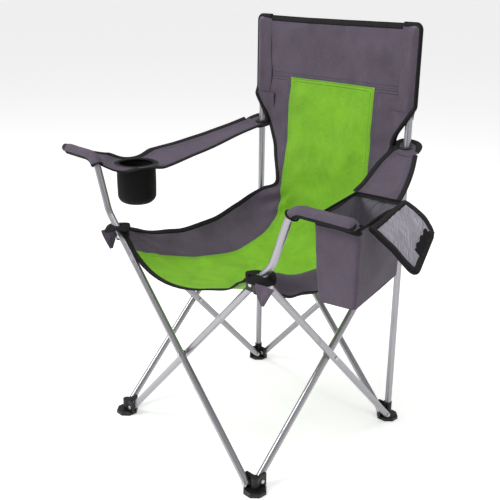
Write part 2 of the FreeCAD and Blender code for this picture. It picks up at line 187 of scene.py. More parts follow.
# The camera: degrees round, up and rolled, the point it looks at, how far off, and its lens
CAMERA_TURNS = (45.97, 18.69, 0.7265)
CAMERA_AIM = (-0.0301, 0, 0.3969)
CAMERA_FAR = 1.8046
CAMERA_LENS = 58.72
# Area lights: name, place, size, power
LIGHTS = [
    ("key", (-1.0, -2.3, 2.5), 1.2, 62),
    ("fill", (2.6, -0.6, 1.6), 1.2, 4),
    ("top", (0.0, -0.2, 3.0), 2.0, 40),
]


# ---------------------------------------------------------------- shader expressions


class Wire:
    """A shader socket that takes part in arithmetic."""

    def __init__(self, finish, socket):
        self.finish = finish
        self.socket = socket

    def math(self, operation, *values):
        inputs = dict(enumerate((self,) + values))
        return self.finish.node("ShaderNodeMath", {"operation": operation}, inputs)

    def __add__(self, other):
        return self.math("ADD", other)

    def __mul__(self, other):
        return self.math("MULTIPLY", other)

    def __sub__(self, other):
        return self.math("SUBTRACT", other)

    def __rsub__(self, other):
        return self.finish.node("ShaderNodeMath", {"operation": "SUBTRACT"}, {0: other, 1: self})

    def __gt__(self, other):
        return self.math("GREATER_THAN", other)

    def __lt__(self, other):
        return self.math("LESS_THAN", other)

    def __abs__(self):
        return self.math("ABSOLUTE")

    __radd__ = __add__
    __rmul__ = __mul__

    def sine(self):
        return self.math("SINE")

    def fraction(self):
        return self.math("FRACT")

    def larger(self, other):
        return self.math("MAXIMUM", other)

    def clipped(self):
        return self.math("MINIMUM", 1.0).math("MAXIMUM", 0.0)

    def ease(self, low, high):
        """0 below low, 1 above high, smooth between."""
        inputs = {"Value": self, "From Min": low, "From Max": high}
        return self.finish.node("ShaderNodeMapRange", {"interpolation_type": "SMOOTHSTEP"}, inputs)


class Finish:
    """One material: its principled shader and the nodes that feed it."""

    def __init__(self, name, color, roughness, **constants):
        self.material = bpy.data.materials.new(name)
        self.material.use_nodes = True
        self.tree = self.material.node_tree
        self.shader = self.tree.nodes["Principled BSDF"]
        self.material.diffuse_color = (*color, 1)
        self.feed("Base Color", (*color, 1))
        self.feed("Roughness", roughness)
        for name, value in constants.items():
            self.feed(name.replace("_", " "), value)

    def node(self, kind, settings, inputs, output=0):
        """A node of a type, with its settings, then the values or links of its sockets."""
        node = self.tree.nodes.new(kind)
        for name, value in settings.items():
            setattr(node, name, value)
        for name, value in inputs.items():
            self.join(node.inputs[name], value)
        return Wire(self, node.outputs[output])

    def join(self, socket, value):
        if isinstance(value, Wire):
            self.tree.links.new(value.socket, socket)
        else:
            socket.default_value = value

    def feed(self, name, value):
        self.join(self.shader.inputs[name], value)

    def place(self):
        """Object coordinates, in metres."""
        return self.node("ShaderNodeTexCoord", {}, {}, "Object")

    def along_across(self, layer):
        """The two distances stored in a UV layer, in metres."""
        uv = self.node("ShaderNodeUVMap", {"uv_map": layer}, {})
        return [self.node("ShaderNodeSeparateXYZ", {}, {0: uv}, axis) for axis in (0, 1)]

    def stretched(self, vector, scale):
        """Coordinates scaled along each axis."""
        return self.node("ShaderNodeVectorMath", {"operation": "MULTIPLY"}, {0: vector, 1: scale})

    def pair(self, first, second):
        return self.node("ShaderNodeCombineXYZ", {}, {0: first, 1: second})

    def clouds(self, vector, scale, detail=3.0):
        inputs = {"Vector": vector, "Scale": scale, "Detail": detail}
        return self.node("ShaderNodeTexNoise", {}, inputs, "Fac")

    def blend(self, share, first, second):
        """A colour between two colours."""
        inputs = {0: share, 6: first, 7: second}
        return self.node("ShaderNodeMix", {"data_type": "RGBA"}, inputs, 2)

    def bump(self, height, depth, strength=1.0):
        """Relief from a height of 0 to 1, `depth` metres deep."""
        inputs = {"Height": height, "Distance": depth, "Strength": strength}
        self.feed("Normal", self.node("ShaderNodeBump", {}, inputs, "Normal"))


def shade(color, by):
    return (*[channel * by for channel in color], 1)


def plain_weave(finish, pitch):
    """Height of a plain weave, from the cloth's own distances."""
    along, across = finish.along_across("cloth")
    first = (along * (math.pi / pitch)).sine()
    second = (across * (math.pi / pitch)).sine()
    over = (first * second) > 0.0
    return over * abs(first) + (1 - over) * abs(second)


def stitch_line(distance, along, at):
    """Mask of a row of stitches `at` metres from a seam."""
    near = abs(distance - at) < 0.0006
    return near * ((along * (1 / 0.0032)).fraction() < 0.72)


def woven_cloth(name, color, thread, sheen):
    """Coated polyester: plain weave, slubs, faint creasing in the relief and as painted crease
    shade in the colour, and stitches beside its seams.
    """
    finish = Finish(
        name, color, 0.62, Sheen_Weight=sheen, Sheen_Roughness=0.4, Specular_IOR_Level=0.3
    )
    along, across = finish.along_across("cloth")
    run, gap = finish.along_across("seam")
    weave = plain_weave(finish, 0.0009)
    slubs = finish.clouds(finish.pair(along * 55, across * 900), 1.0, 2.0)
    cross_slubs = finish.clouds(finish.pair(along * 900, across * 55), 1.0, 2.0)
    # Crease clouds: relief for the bump, and painted crease shade in the colour.
    crease_relief_and_shade = finish.clouds(finish.stretched(finish.place(), (1.0, 1.0, 1.0)), 16.0, 4.0)
    stitches = stitch_line(gap, run, 0.0025).larger(stitch_line(gap, run, 0.0085))
    pucker = (1 - gap.ease(0.0, 0.006)) * 0.5
    # Large soft clouds, stretched upright: lighter and darker blotches in the colour and a soft
    # relief.
    blotches = finish.clouds(finish.stretched(finish.place(), (1.0, 1.0, 0.45)), 34.0, 5.0)
    # Painted crease shade: the crease clouds darken and lighten the colour, on top of the slubs,
    # the weave and the blotches.
    tone = (slubs + cross_slubs - 1.0) * 0.8 + (crease_relief_and_shade + blotches - 1.0) * 0.7 + weave * 0.18 + 0.40
    cloth = finish.blend(tone.clipped(), shade(color, 0.70), shade(color, 1.32))
    finish.feed("Base Color", finish.blend(stitches, cloth, (*thread, 1)))
    finish.feed("Roughness", 0.52 + crease_relief_and_shade * 0.16 + weave * 0.08)
    height = weave * 0.06 + slubs * 0.06 + crease_relief_and_shade * 1.2
    height = height + blotches * 0.5 + stitches * 0.12 - pucker * 0.2
    finish.bump(height, 0.0036, 0.9)
    return finish.material


def binding_tape():
    """Black woven tape with a fine rib and a row of stitches near each edge."""
    color = (0.0045, 0.0043, 0.0048)
    finish = Finish("black binding tape", color, 0.7, Specular_IOR_Level=0.16)
    along, across = finish.along_across("cloth")
    rib = abs((along * (math.pi / 0.0012)).sine())
    fuzz = finish.clouds(finish.pair(along * 700, across * 700), 1.0, 2.0)
    run, gap = finish.along_across("seam")
    stitches = stitch_line(gap, run, 0.0030)
    tape = finish.blend(fuzz * 0.7, shade(color, 0.75), shade(color, 1.9))
    finish.feed("Base Color", finish.blend(stitches, tape, (0.016, 0.0155, 0.017, 1)))
    finish.feed("Roughness", 0.58 + fuzz * 0.25)
    finish.bump(rib * 0.4 + fuzz * 0.35 + stitches * 0.5, 0.0005)
    return finish.material


def silver_tube():
    """Silver-grey powder coat: metallic flake, faint orange peel and small scuffs."""
    color = (0.34, 0.33, 0.355)
    finish = Finish(
        "silver powder coat", color, 0.3, Metallic=0.9, Coat_Weight=0.2, Coat_Roughness=0.12
    )
    place = finish.place()
    flakes = finish.clouds(place, 2600.0, 1.0)
    peel = finish.clouds(place, 420.0, 2.0)
    scuffs = finish.clouds(finish.stretched(place, (60.0, 60.0, 9.0)), 1.0, 6.0).ease(0.62, 0.74)
    tone = finish.blend(flakes, shade(color, 0.86), shade(color, 1.14))
    finish.feed("Base Color", finish.blend(scuffs * 0.5, tone, (0.30, 0.29, 0.31, 1)))
    finish.feed("Roughness", 0.24 + peel * 0.10 + scuffs * 0.2)
    finish.bump(peel * 0.6 + flakes * 0.4, 0.00012, 0.6)
    return finish.material


def rivet_steel():
    """Zinc-plated steel with fine turning marks and a dull bloom."""
    color = (0.55, 0.55, 0.56)
    finish = Finish("zinc-plated rivet", color, 0.35, Metallic=1.0)
    place = finish.place()
    bloom = finish.clouds(place, 350.0, 4.0)
    marks = finish.clouds(finish.stretched(place, (400.0, 400.0, 3200.0)), 1.0, 2.0)
    finish.feed("Base Color", finish.blend(bloom, shade(color, 0.7), shade(color, 1.2)))
    finish.feed("Roughness", 0.26 + bloom * 0.3)
    finish.bump(marks, 0.00008)
    return finish.material


def moulded_plastic():
    """Black moulded plastic: fine spark-eroded grain and lighter rubbed patches."""
    color = (0.006, 0.006, 0.0066)
    finish = Finish("black moulded plastic", color, 0.42, Specular_IOR_Level=0.35)
    place = finish.place()
    grain = finish.clouds(place, 2200.0, 2.0)
    rubbed = finish.clouds(place, 90.0, 5.0).ease(0.55, 0.75)
    finish.feed("Base Color", finish.blend(rubbed, shade(color, 0.9), shade(color, 2.4)))
    finish.feed("Roughness", 0.34 + grain * 0.12 + rubbed * 0.14)
    finish.bump(grain, 0.00016)
    return finish.material


def knitted_mesh():
    """Black warp-knitted mesh: rows of staggered eyelets, darkened in the colour by painted shade.
    """
    color = (0.0055, 0.0052, 0.0058)
    finish = Finish("black knitted mesh", color, 0.75, Specular_IOR_Level=0.16)
    along, across = finish.along_across("cloth")
    first = (along * (math.pi / 0.0024)).sine()
    second = (across * (math.pi / 0.0030)).sine()
    eyelet_and_shade = (first * second).ease(0.25, 0.7)
    fuzz = finish.clouds(finish.pair(along * 800, across * 800), 1.0, 2.0)
    yarn = finish.blend(fuzz, shade(color, 0.8), shade(color, 1.7))
    # Painted shade: the eyelets are darkened in the colour where the holes would show the shade
    # behind the mesh.
    finish.feed("Base Color", finish.blend(eyelet_and_shade, yarn, shade(color, 0.25)))
    finish.feed("Roughness", 0.66 + fuzz * 0.2)
    finish.bump((1 - eyelet_and_shade) * 0.7 + fuzz * 0.3, 0.0007)
    return finish.material


def foil_lining():
    """Silver-grey coated lining: soft sheen, sharp little creases running across it, in the relief
    and as painted crease shade and highlight in the colour.
    """
    color = (0.235, 0.222, 0.255)
    finish = Finish("silver coated lining", color, 0.4, Metallic=0.25)
    along, across = finish.along_across("cloth")
    skewed = finish.pair(along * 26 + across * 20, across * 120 - along * 70)
    # Crease streaks: relief for the bump, and painted crease shade and highlight in the colour.
    crease_streaks_and_shade = finish.clouds(skewed, 1.0, 4.0)
    crease_relief_and_shade = finish.clouds(finish.pair(along * 60, across * 60), 1.0, 5.0)
    lines = (1 - abs(crease_streaks_and_shade - 0.5) * 9).clipped()
    # Painted crease shade and highlight: the crease streaks and crease clouds darken and lighten
    # the lining's colour.
    tone = (crease_streaks_and_shade * 0.7 + crease_relief_and_shade * 0.5).clipped()
    finish.feed("Base Color", finish.blend(tone, shade(color, 0.72), shade(color, 1.35)))
    finish.feed("Roughness", 0.34 + crease_relief_and_shade * 0.22)
    finish.bump(crease_streaks_and_shade * 0.55 + crease_relief_and_shade * 0.25 + lines * 0.25, 0.0022, 0.9)
    return finish.material


def hook_and_loop():
    """Black hook-and-loop tape: a dense matt pile in fine rows."""
    color = (0.005, 0.005, 0.0056)
    finish = Finish("black hook-and-loop", color, 0.9, Specular_IOR_Level=0.16)
    along, across = finish.along_across("cloth")
    pile = finish.clouds(finish.pair(along * 1500, across * 1500), 1.0, 2.0)
    rows = abs((across * (math.pi / 0.0016)).sine())
    finish.feed("Base Color", finish.blend(pile, shade(color, 0.6), shade(color, 2.6)))
    finish.feed("Roughness", 0.8 + pile * 0.18)
    finish.bump(pile * 0.6 + rows * 0.4, 0.0008)
    return finish.material


GREEN = woven_cloth("green polyester", (0.160, 0.385, 0.012), (0.08, 0.22, 0.009), 0.04)
GREY = woven_cloth("grey polyester", (0.078, 0.060, 0.087), (0.028, 0.023, 0.032), 0.05)
BINDING = binding_tape()
LINING = foil_lining()
MESH = knitted_mesh()
PILE = hook_and_loop()
CAD_FINISH = {
    "silver_tube": silver_tube(),
    "rivet_steel": rivet_steel(),
    "black_plastic": moulded_plastic(),
}


# ---------------------------------------------------------------- making cloth


def spline(values, at):
    """Catmull-Rom value of rows of numbers at a fractional index."""
    values = np.asarray(values, float)
    index = min(int(at), len(values) - 2)
    part = at - index
    before = values[max(index - 1, 0)]
    first, last = values[index], values[index + 1]
    after = values[min(index + 2, len(values) - 1)]
    curve = 2 * before - 5 * first + 4 * last - after
    cubic = 3 * first - before - 3 * last + after
    return first + 0.5 * part * (last - before + part * (curve + part * cubic))


def ease(value):
    value = min(max(value, 0.0), 1.0)
    return value * value * (3 - 2 * value)


def ripple(x, y, z, scale, seed):
    """Smooth noise from -1 to 1 at a point."""
    return noise.noise(Vector((x, y, z)) * scale + Vector((seed * 7.3, seed * 3.1, seed * 5.7)))


def unit(vectors):
    return vectors / np.maximum(np.linalg.norm(vectors, axis=-1, keepdims=True), 1e-12)


def grid_normals(points, ring=False):
    """Normals of a grid of points. A ring grid closes on itself across its rows."""
    along = np.gradient(points, axis=0)
    if ring:
        across = np.roll(points, -1, axis=1) - np.roll(points, 1, axis=1)
    else:
        across = np.gradient(points, axis=1)
    return unit(np.cross(along, across))


def lengths(points, axis):
    """Distance along a grid's rows or columns, from its first point."""
    steps = np.linalg.norm(np.diff(points, axis=axis), axis=-1)
    first = np.zeros_like(np.take(steps, [0], axis=axis))
    return np.concatenate([first, np.cumsum(steps, axis=axis)], axis=axis)


def facing(points, normals, outward):
    """The grid and its normals, turned over where `outward` says that they face inwards."""
    if outward < 0:
        return points[:, ::-1], -normals[:, ::-1]
    return points, normals


def border(rows, columns):
    """Row and column of each point round a grid's edge."""
    edge = [(i, 0) for i in range(rows)] + [(rows - 1, j) for j in range(1, columns)]
    edge += [(i, columns - 1) for i in range(rows - 2, -1, -1)]
    return edge + [(0, j) for j in range(columns - 2, 0, -1)]


def grid_area(points, ring=False):
    """Area of the cloth that a grid of points spans."""
    if ring:
        points = np.concatenate([points, points[:, :1]], axis=1)
    first = points[1:, 1:] - points[:-1, :-1]
    second = points[1:, :-1] - points[:-1, 1:]
    return float(np.linalg.norm(np.cross(first, second), axis=-1).sum()) / 2


def boxed(value, power):
    """A sine or cosine pushed outwards, so that a circle turns into a rounded box."""
    return math.copysign(abs(value) ** power, value)


def make_object(name, points, faces, normals, maps, materials, face_slots):
    """A mesh object from faces of point numbers, with a normal and UVs for each face corner."""
    mesh = bpy.data.meshes.new(name)
    mesh.from_pydata([tuple(p) for p in points], [], faces)
    for material in materials:
        mesh.materials.append(material)
    mesh.polygons.foreach_set("material_index", face_slots)
    mesh.polygons.foreach_set("use_smooth", [True] * len(faces))
    for layer, values in maps.items():
        uv = mesh.uv_layers.new(name=layer)
        uv.data.foreach_set("uv", np.asarray(values, float).ravel())
    mesh.normals_split_custom_set([tuple(n) for n in normals])
    piece = bpy.data.objects.new(name, mesh)
    bpy.context.collection.objects.link(piece)
    return piece


def cloth(name, points, thickness, materials, normals=None, seam=None, ring=False, wall=None):
    """A closed sheet of cloth round a grid of points. The second material, if any, is its back.
    seam holds each point's distance from the nearest seam."""
    rows, columns = points.shape[:2]
    if normals is None:
        normals = grid_normals(points, ring)
    side = thickness / 2
    deep = side if wall is None else wall
    front = (points + normals * side).reshape(-1, 3)
    back = (points - normals * deep).reshape(-1, 3)
    layers = np.concatenate([front, back])
    flat_normals = normals.reshape(-1, 3)
    along = lengths(points, 0)
    across = lengths(points, 1)
    if seam is None:
        seam = np.ones(points.shape[:2])
    cloth_uv = np.stack([along, across], -1).reshape(-1, 2)
    seam_uv = np.stack([along, seam], -1).reshape(-1, 2)
    count = rows * columns
    faces, corner_normals, slots, corners = [], [], [], []
    wide = columns if ring else columns - 1

    def number(i, j):
        return i * columns + j % columns

    for i in range(rows - 1):
        for j in range(wide):
            quad = [number(i, j), number(i + 1, j), number(i + 1, j + 1), number(i, j + 1)]
            faces.append(quad)
            corner_normals += [flat_normals[k] for k in quad]
            corners += quad
            slots.append(0)
            faces.append([k + count for k in reversed(quad)])
            corner_normals += [-flat_normals[k] for k in reversed(quad)]
            corners += list(reversed(quad))
            slots.append(len(materials) - 1)
    if ring:
        around = range(columns + 1)
        edges = [[number(0, j) for j in reversed(around)], [number(rows - 1, j) for j in around]]
    else:
        edge = [number(i, j) for i, j in border(rows, columns)]
        edges = [edge + edge[:1]]
    for edge in edges:
        for a, b in zip(edge[:-1], edge[1:]):
            out = np.cross(layers[b] - layers[a], flat_normals[a])
            out = out / max(np.linalg.norm(out), 1e-12)
            faces.append([b, a, a + count, b + count])
            corner_normals += [out] * 4
            corners += [b, a, a, b]
            slots.append(0)
    maps = {"cloth": cloth_uv[corners], "seam": seam_uv[corners]}
    return make_object(name, layers, faces, corner_normals, maps, materials, slots)


def rounded_profile(half_width, half_thick, count=14):
    """Points of a flat oval with full ends."""
    points = []
    for k in range(count):
        turn = 2 * math.pi * k / count
        wide, thick = boxed(math.cos(turn), 0.45), boxed(math.sin(turn), 0.75)
        points.append((wide * half_width, thick * half_thick))
    return points


def swept(name, path, sideways, upward, profile, material, closed=False):
    """A solid with one profile all along a path; two directions at each point hold the profile."""
    path, sideways, upward = [np.asarray(values, float) for values in (path, sideways, upward)]
    shape = np.asarray(profile, float)
    rings = path[:, None] + sideways[:, None] * shape[None, :, :1]
    rings = rings + upward[:, None] * shape[None, :, 1:]
    if closed:
        rings = np.concatenate([rings, rings[:1]])
    rows, columns = rings.shape[:2]
    along = lengths(rings.mean(axis=1, keepdims=True), 0)[:, 0]
    looped = np.concatenate([shape, shape[:1]])
    round_it = lengths(looped[None], 1)[0]
    reach = abs(shape[:, 0]).max()
    faces, corners = [], []
    for i in range(rows - 1):
        after = 0 if closed and i == rows - 2 else i + 1
        for j in range(columns):
            k = (j + 1) % columns
            quad = [(i, j), (i, k), (after, k), (after, j)]
            faces.append([row * columns + column for row, column in quad])
            corners += [(i, j), (i, j + 1), (i + 1, j + 1), (i + 1, j)]
    if not closed:
        for i, order in ((0, range(columns - 1, -1, -1)), (rows - 1, range(columns))):
            faces.append([i * columns + j for j in order])
            corners += [(i, j) for j in order]
    points = rings.reshape(-1, 3) if not closed else rings[:-1].reshape(-1, 3)
    mesh = bpy.data.meshes.new(name)
    mesh.from_pydata([tuple(p) for p in points], [], faces)
    mesh.materials.append(material)
    mesh.polygons.foreach_set("use_smooth", [True] * len(faces))
    for layer in ("cloth", "seam"):
        spots = []
        for i, j in corners:
            far = round_it[j] if layer == "cloth" else reach - abs(shape[j % columns, 0])
            spots.append((along[i], far))
        mesh.uv_layers.new(name=layer).data.foreach_set("uv", np.asarray(spots, float).ravel())
    mesh.validate()
    if volume_of(points, faces) < 0:
        mesh.flip_normals()
    piece = bpy.data.objects.new(name, mesh)
    bpy.context.collection.objects.link(piece)
    return piece


def volume_of(points, faces):
    total = 0.0
    for face in faces:
        for a, b in zip(face[1:-1], face[2:]):
            total += np.dot(points[face[0]], np.cross(points[a], points[b]))
    return total


def binding(name, edge, inner, normals, half_width=TAPE / 2, closed=False):
    """Binding tape folded over an edge. inner points towards the cloth."""
    inner = unit(np.asarray(inner, float))
    centre = np.asarray(edge, float) + inner * (half_width - 0.0022)
    profile = rounded_profile(half_width, TAPE_THICK / 2)
    return swept(name, centre, inner, unit(np.asarray(normals, float)), profile, BINDING, closed)


def with_body(piece, body, squash=None):
    """Ride on a body, and give the piece its own copy of its mesh if squash is given."""
    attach(piece, body)
    if squash:
        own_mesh(piece)
    return piece


SLING_SQUASH = ("fold", (1, 0, 0), (-CORNER, 0, 0), FOLD_KEEP)


def arm_squash(side):
    return ("fold", ARM_WAY[side], (HANDS[side] * CORNER, CORNER, RING_Z), ARM_KEEP[side])


def declare(points):
    """Work out a sheet's cut: its greatest width and length, and its flat area; none of it is
    kept.
    """
    along = float(lengths(points, 0)[-1].max())
    across = float(lengths(points, 1)[:, -1].max())
    area = min(grid_area(points), along * across)


# ---------------------------------------------------------------- the sling


def sling_row(at, shares):
    """Points across the sling at a row. Share 1 is the green panel's edge, 2 the side."""
    mid_y, mid_z, side_x, side_y, side_z, flat, green = spline(SLING, at)
    points = []
    for share in shares:
        inside = min(abs(share), 1.0) * green
        x = inside + max(abs(share) - 1.0, 0.0) * (side_x - green)
        bend = (x / side_x) ** flat
        way = math.copysign(1.0, share)
        y = mid_y + (side_y - mid_y) * bend
        z = mid_z + (side_z - mid_z) * bend
        if way > 0 and at < len(LEFT_LIFT) - 1:
            seam_lift, edge_lift = spline(LEFT_LIFT, at)
            z += seam_lift * (inside / green) ** 4
            z += (edge_lift - seam_lift) * ease((x - green) / (side_x - green))
        # the front edge is drawn up towards its left hub
        z += 0.021 * math.exp(-(((way * x - 0.095) / 0.07) ** 2)) * (1 - ease(at / 1.8))
        points.append((way * x, y, z))
    return points


def sling_folds(points, rows):
    """How far the cloth stands off its smooth form, along its normal."""
    push = np.zeros(points.shape[:2])
    for i, at in enumerate(rows):
        for j in range(points.shape[1]):
            x, y, z = points[i, j]
            edge = 1 - ease((0.205 - abs(x)) / 0.03)
            seat = 1 - ease((at - 6.0) / 1.5)
            back = 1 - seat
            soft = ripple(x, y, z, 9, 1) * 0.0050 + ripple(x, y, z, 24, 2) * 0.0024
            # creases that fan out of the crease between seat and back
            fan = math.sin((abs(x) * 0.9 + z * 1.4) * 95 + ripple(x, y, z, 12, 3) * 3)
            near_crease = math.exp(-(((at - 6.0) / 1.3) ** 2)) * ease((abs(x) - 0.06) / 0.08)
            # shallow lines drawn towards the front hubs
            pull = math.sin(math.atan2(z - 0.46, y + 0.23) * 26 + abs(x) * 30)
            near_hub = math.exp(-((at / 1.5) ** 2)) * ease((abs(x) - 0.09) / 0.07)
            wave = math.sin(y * 62 + (1.3 if x < 0 else 0.2)) * edge * seat
            head = math.sin(z * 46 + x * 9) * ease((at - 10.5) / 0.8) * 0.0022
            push[i, j] = soft * (0.8 + 0.4 * back) + fan * near_crease * 0.0034
            push[i, j] += pull * near_hub * 0.0022 + wave * 0.0026 + head
            push[i, j] *= 0.25 + 0.75 * ease(at / 0.7)
    return push


def make_sling():
    rows = np.linspace(0, len(SLING) - 1, (len(SLING) - 1) * ROW_STEPS + 1)
    green = np.linspace(-1, 1, GREEN_COLUMNS + 1)
    side = 1 + np.linspace(0, 1, SIDE_COLUMNS + 1)
    shares = np.concatenate([-side[:0:-1], green, side[1:]])
    points = np.array([sling_row(at, shares) for at in rows])
    smooth_normals = grid_normals(points)
    if smooth_normals[0, len(shares) // 2, 2] < 0:
        smooth_normals = -smooth_normals
    points = points + smooth_normals * sling_folds(points, rows)[..., None]
    normals = grid_normals(points)
    across = lengths(points, 1)
    green_first, green_last = SIDE_COLUMNS, SIDE_COLUMNS + GREEN_COLUMNS
    left_seam = abs(across - across[:, green_first : green_first + 1])
    right_seam = abs(across - across[:, green_last : green_last + 1])
    side_seam = np.minimum(left_seam, right_seam)
    head_gap = abs(lengths(points, 0) - lengths(points, 0)[HEAD_SEAM * ROW_STEPS])
    for band, (first, last, body) in BANDS.items():
        start, stop = round(first * ROW_STEPS), round(last * ROW_STEPS) + 1
        full = band == "head_panel"
        panels = {"cloth": (0, len(shares) - 1, GREY)}
        if not full:
            panels = {
                "side_right": (0, green_first, GREY),
                "centre": (green_first, green_last, GREEN),
                "side_left": (green_last, len(shares) - 1, GREY),
            }
        seam = np.minimum(side_seam, head_gap) if first >= 10 else side_seam
        if full:
            seam = head_gap
        for part, (low, high, material) in panels.items():
            cut = (slice(start, stop), slice(low, high + 1))
            name = f"{band}_{part}" if not full else "head_cloth"
            piece = cloth(name, points[cut], CLOTH, [material], normals[cut], seam[cut])
            with_body(piece, body, SLING_SQUASH)
            node = f"{band}_{part}"
            if band in ("back_upper", "head_panel"):
                node = band
            if node in frame["nodes"] and (band != "back_upper" or part == "centre"):
                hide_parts(node)
            declare(points[cut])
        if first < 10:
            # on the back the tape leaves the wing for the post's sleeve
            end = stop - 6 if band == "back_lower" else stop
            wing_bindings(band, points[start:end], normals[start:end], body)
    front = points[0]
    inner = points[2] - points[0]
    tape = binding("seat_front_binding", front, inner, normals[0], TAPE * 0.62)
    with_body(tape, "seat_front", SLING_SQUASH)
    crown(points, normals)


def wing_bindings(band, points, normals, body):
    """The tape down both free edges of one band of the sling."""
    for name, edge, inside in (("right", 0, 1), ("left", -1, -2)):
        inner = points[:, inside] - points[:, edge]
        tape = binding(f"{band}_binding_{name}", points[:, edge], inner, normals[:, edge])
        with_body(tape, body, SLING_SQUASH)


def crown(points, normals):
    """The tape along the top of the back."""
    top = points[-1]
    down = points[-3] - points[-1]
    tape = binding("head_binding", top, down, normals[-1], TAPE * 0.56)
    with_body(tape, "rear_right_frame", SLING_SQUASH)


def sleeve_edge(z):
    """X of a sleeve's outer edge: it widens over the post, then rounds over at the top corner."""
    if z < SLEEVE_FULL:
        return 0.188 + (SLEEVE_OUT - 0.188) * ease((z - SLEEVE_LOW) / (SLEEVE_FULL - SLEEVE_LOW))
    rise = min(max(z - (SLEEVE_TOP - SLEEVE_CORNER), 0) / SLEEVE_CORNER, 1)
    return SLEEVE_OUT - SLEEVE_CORNER * (1 - math.sqrt(1 - rise * rise))


def post_sleeve(side):
    """The channel that slips over a post, and the bound wing that runs down in front of it."""
    hand = HANDS[side]
    body = "rear_left_frame" if side == "left" else "rear_right_frame"
    rings = []
    for z in np.linspace(0.694, SLEEVE_TOP, 45):
        edge = sleeve_edge(z)
        close = 1 - 0.75 * ease((z - POST_HIGH.z + 0.006) / 0.010)
        tail = 0.0185 + 0.002 * math.sin(z * 60)
        ring = []
        for k in range(32):
            turn = 2 * math.pi * k / 32
            c, s = math.cos(turn), math.sin(turn)
            if c > 0:
                x = CORNER + c * 0.0104 + (edge - CORNER - 0.0104) * c**4
            else:
                x = CORNER + c * (0.0104 + tail * c**4)
            slack = 0.0008 * ripple(c * 2, s * 2, z * 30, 1.0, 4 + hand)
            y = CORNER - 0.0002 + s * (0.0104 + slack) * (1 - 0.35 * c * c) * close
            ring.append((hand * x, y, z))
        rings.append(ring[::-1] if hand > 0 else ring)
    rings = np.array(rings)
    normals = grid_normals(rings, True)
    outward = (normals[5] * (rings[5] - rings[5].mean(axis=0))).sum()
    rings, normals = facing(rings, normals, outward)
    piece = cloth(f"sleeve_{side}", rings, 0.0012, [GREY], normals, ring=True)
    with_body(piece, body)
    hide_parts(f"post_sleeve_{side}")
    declare(rings)
    wing = []
    for z in np.linspace(SLEEVE_LOW, 0.708, 16):
        row = []
        for k in range(9):
            x = 0.172 + (min(sleeve_edge(z), 0.2235) - 0.172) * k / 8
            y = 0.2100 - 0.0065 * ease((x - 0.178) / 0.022) + 0.0010 * ripple(x, z, 0, 40, 21)
            row.append((hand * x, y, z))
        wing.append(row)
    wing = np.array(wing)
    piece = cloth(f"sleeve_wing_{side}", wing, CLOTH, [GREY])
    with_body(piece, body)
    declare(wing)
    line, inward = [], []
    for z in np.linspace(SLEEVE_LOW - 0.002, SLEEVE_TOP - SLEEVE_CORNER, 40):
        y = 0.2032 + (CORNER - 0.2032) * ease((z - 0.700) / 0.022)
        line.append((hand * sleeve_edge(z), y, z))
        inward.append((-hand, 0, 0))
    for turn in np.linspace(0.2, math.pi / 2, 8):
        reach, rise = SLEEVE_CORNER * (math.cos(turn) - 1), SLEEVE_CORNER * (math.sin(turn) - 1)
        line.append((hand * (SLEEVE_OUT + reach), CORNER, SLEEVE_TOP + rise))
        inward.append((-hand * math.cos(turn), 0, -math.sin(turn)))
    for x in np.linspace(SLEEVE_OUT - SLEEVE_CORNER - 0.004, 0.1885, 6):
        line.append((hand * x, CORNER, SLEEVE_TOP))
        inward.append((0, 0, -1))
    centre = np.array(line) + unit(np.array(inward, float)) * 0.0022
    profile = rounded_profile(0.0050, 0.0046)
    backward = [(0, 1, 0)] * len(line)
    tape = swept(f"sleeve_binding_{side}", centre, inward, backward, profile, BINDING)
    with_body(tape, body)


# ---------------------------------------------------------------- front corners


def corner_patch(side):
    """The reinforced corner of the seat over a front hub: a diamond with a slot for the arm."""
    hand = HANDS[side]
    plane = -CORNER + hand * PLANE_OUT
    centre = np.array((hand * 0.2125, plane, HUB_TOP + 0.0014))
    rows = []
    for ring in range(7):
        share = ring / 6
        points = []
        for k in range(48):
            turn = 2 * math.pi * k / 48
            c, s = math.cos(turn), math.sin(turn)
            slot_x = 0.0055 + 0.0140 * c
            slot_y = 0.0084 * boxed(s, 0.6)
            reach = 0.037 / (abs(c) ** 1.25 + abs(s) ** 1.25) ** 0.8
            x = slot_x + (reach * c - slot_x) * share
            y = slot_y + (reach * s * 0.86 - slot_y) * share
            drop = -0.0035 * share**2 * (0.6 + 0.4 * abs(c))
            drop += 0.0008 * math.sin(turn * 5 + 1) * share
            drop -= 0.009 * share * max(0, c - s) / math.sqrt(2)
            points.append(centre + np.array((hand * x, y, drop)))
        rows.append(points)
    points = np.array(rows)
    normals = grid_normals(points, True)
    points, normals = facing(points, normals, normals[..., 2].mean())
    patch = cloth(f"corner_patch_{side}", points, 0.0022, [BINDING], normals, ring=True)
    with_body(patch, f"front_{side}_hub")
    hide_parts(f"seat_strap_{side}")
    corner_flap(side)
    declare_patch(points)


def corner_flap(side):
    """The pocket flap that hangs under a front corner, in the plane that faces outwards."""
    first, last, tip, out = [np.array(spot) for spot in FLAPS[side]]
    flap = []
    for i in range(12):
        share = i / 11
        row = []
        for k in range(13):
            way = k / 12
            spot = first + (last - first) * way
            spot = spot + (tip + (last - first) * 0.16 * (way - 0.5) - spot) * share
            bulge = 0.0022 * math.sin(share * math.pi) + 0.0012 * math.sin(way * 9 + share * 4)
            row.append(tuple(spot + out * bulge))
        flap.append(row)
    flap = np.array(flap)
    piece = cloth(f"corner_flap_{side}", flap, CLOTH, [GREY])
    with_body(piece, f"front_{side}_hub")
    declare(flap)


def declare_patch(points):
    """A patch cut as a ring: its flat size is the diamond's."""
    span = points[-1].max(axis=0) - points[-1].min(axis=0)
    wide, long = float(span[0]), float(span[1])
    area = min(grid_area(points, True), wide * long)


# ---------------------------------------------------------------- armrests


